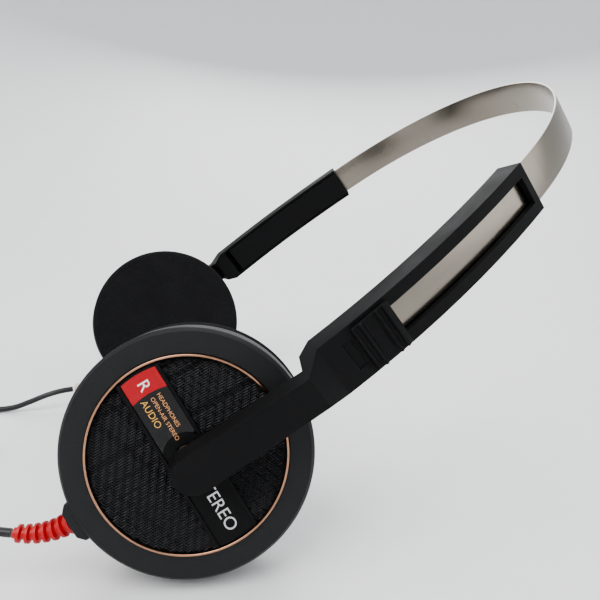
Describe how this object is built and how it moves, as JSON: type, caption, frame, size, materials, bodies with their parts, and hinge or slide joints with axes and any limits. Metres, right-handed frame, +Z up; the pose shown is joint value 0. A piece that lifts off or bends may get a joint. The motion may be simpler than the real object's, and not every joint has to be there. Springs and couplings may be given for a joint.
{
  "type": "headphones",
  "caption": "Light on-ear headphones with a thin spring-steel headband, sliding cranked arms, round open-mesh ear cups on ball joints, foam pads and a cord with a stereo plug.",
  "frame": {"origin": "Middle of the underside of the headband at its crown, where a head, a hook or a stand holds it.", "axes": "+Z up with both cups standing on a table, +Y from the right ear to the left ear, +X the way the headband leans up from the cups."},
  "size_m": [0.2952, 0.1513, 0.1152],
  "materials": {
    "band_steel": "satin spring steel strip, warm grey",
    "black_plastic": "satin black moulding",
    "charcoal_plastic": "satin charcoal moulding",
    "copper_trim": "polished rose-gold plating",
    "woven_mesh": "black-coated twilled wire mesh",
    "label_gloss": "gloss black label on a satin bar",
    "turned_steel": "turned steel",
    "spring_steel": "bright spring steel",
    "brass": "plain brass",
    "nylon": "natural nylon",
    "magnet_alloy": "dark plated magnet can",
    "clear_film": "thin straw-coloured film",
    "board_fibre": "resin-bonded board",
    "black_foam": "open-cell black foam",
    "red_rubber": "red flexible moulding",
    "ivory_rubber": "ivory flexible moulding",
    "cord_jacket": "satin black cord jacket",
    "cord_moulding": "matt black flexible moulding",
    "plug_plastic": "smooth black moulding",
    "plug_metal": "nickel-plated contacts"
  },
  "bodies": {
    "headband": {"headband": "band_steel", "right_slider_knob": "black_plastic", "right_slider_rivet_1": "brass", "right_slider_rivet_2": "brass", "right_detent_spring": "spring_steel", "left_slider_knob": "black_plastic", "left_slider_rivet_1": "brass", "left_slider_rivet_2": "brass", "left_detent_spring": "spring_steel", "right_cord_branch": "cord_jacket", "left_cord_branch": "cord_jacket", "cord_split": "cord_moulding", "cord_lead": "cord_jacket", "cord_coil": "cord_jacket", "cord_tail": "cord_jacket", "coil_clip": "black_plastic", "plug_boot": "cord_moulding", "plug_body": "plug_plastic", "plug_pin": "plug_metal"},
    "right_arm": {"right_arm_shell": "black_plastic", "right_arm_cover": "black_plastic"},
    "right_stud": {"right_pivot_stud": "turned_steel", "right_pivot_ball": "turned_steel"},
    "right_seat": {"right_ball_seat": "nylon"},
    "right_cup": {"right_socket_bridge": "black_plastic", "right_cup_bezel": "charcoal_plastic", "right_trim_ring": "copper_trim", "right_mesh_grille": "woven_mesh", "right_label_bar": "label_gloss", "right_rear_shell": "black_plastic", "right_case_screw_1": "turned_steel", "right_case_screw_2": "turned_steel", "right_driver_magnet": "magnet_alloy", "right_driver_frame": "black_plastic", "right_diaphragm": "clear_film", "right_driver_cover": "black_plastic", "right_ear_pad": "black_foam", "right_terminal_board": "board_fibre", "right_cord_boot": "red_rubber"},
    "left_arm": {"left_arm_shell": "black_plastic", "left_arm_cover": "black_plastic"},
    "left_stud": {"left_pivot_stud": "turned_steel", "left_pivot_ball": "turned_steel"},
    "left_seat": {"left_ball_seat": "nylon"},
    "left_cup": {"left_socket_bridge": "black_plastic", "left_cup_bezel": "charcoal_plastic", "left_trim_ring": "copper_trim", "left_mesh_grille": "woven_mesh", "left_label_bar": "label_gloss", "left_rear_shell": "black_plastic", "left_case_screw_1": "turned_steel", "left_case_screw_2": "turned_steel", "left_driver_magnet": "magnet_alloy", "left_driver_frame": "black_plastic", "left_diaphragm": "clear_film", "left_driver_cover": "black_plastic", "left_ear_pad": "black_foam", "left_terminal_board": "board_fibre", "left_cord_boot": "ivory_rubber"}
  },
  "joints": [
    {"name": "right_arm_slide", "type": "hinge", "parent": "headband", "child": "right_arm", "pos_m": [-0.07881, 0.08005, -0.05861], "axis": [0.5835, -0.0198, -0.8118], "range_deg": [0, 15.5], "deforming": ["right_cord_branch"]},
    {"name": "right_cup_spin", "type": "hinge", "parent": "right_arm", "child": "right_stud", "pos_m": [-0.11511, -0.05991, -0.08128], "axis": [0, 0.9997, -0.0244], "range_deg": [-18.6, 5.4]},
    {"name": "right_cup_tilt", "type": "hinge", "parent": "right_stud", "child": "right_seat", "pos_m": [-0.11511, -0.05991, -0.08128], "axis": [-0.4863, 0.0213, 0.8735], "range_deg": [-11.1, 6.8]},
    {"name": "right_cup_swivel", "type": "hinge", "parent": "right_seat", "child": "right_cup", "pos_m": [-0.11511, -0.05991, -0.08128], "axis": [0.8708, -0.0701, 0.4866], "range_deg": [-0.1, 30.3]},
    {"name": "left_arm_slide", "type": "hinge", "parent": "headband", "child": "left_arm", "pos_m": [-0.07881, -0.08282, -0.05463], "axis": [-0.5835, 0.0198, 0.8118], "range_deg": [0, 15.5], "deforming": ["left_cord_branch"]},
    {"name": "left_cup_spin", "type": "hinge", "parent": "left_arm", "child": "left_stud", "pos_m": [-0.11511, 0.05587, -0.08411], "axis": [0, 0.9997, -0.0244], "range_deg": [-12, 12]},
    {"name": "left_cup_tilt", "type": "hinge", "parent": "left_stud", "child": "left_seat", "pos_m": [-0.11511, 0.05587, -0.08411], "axis": [-0.5835, 0.0198, 0.8118], "range_deg": [-17.6, 0.3]},
    {"name": "left_cup_swivel", "type": "hinge", "parent": "left_seat", "child": "left_cup", "pos_m": [-0.11511, 0.05587, -0.08411], "axis": [0.7825, 0.2809, 0.5556], "range_deg": [-6.2, 24.2]}
  ]
}
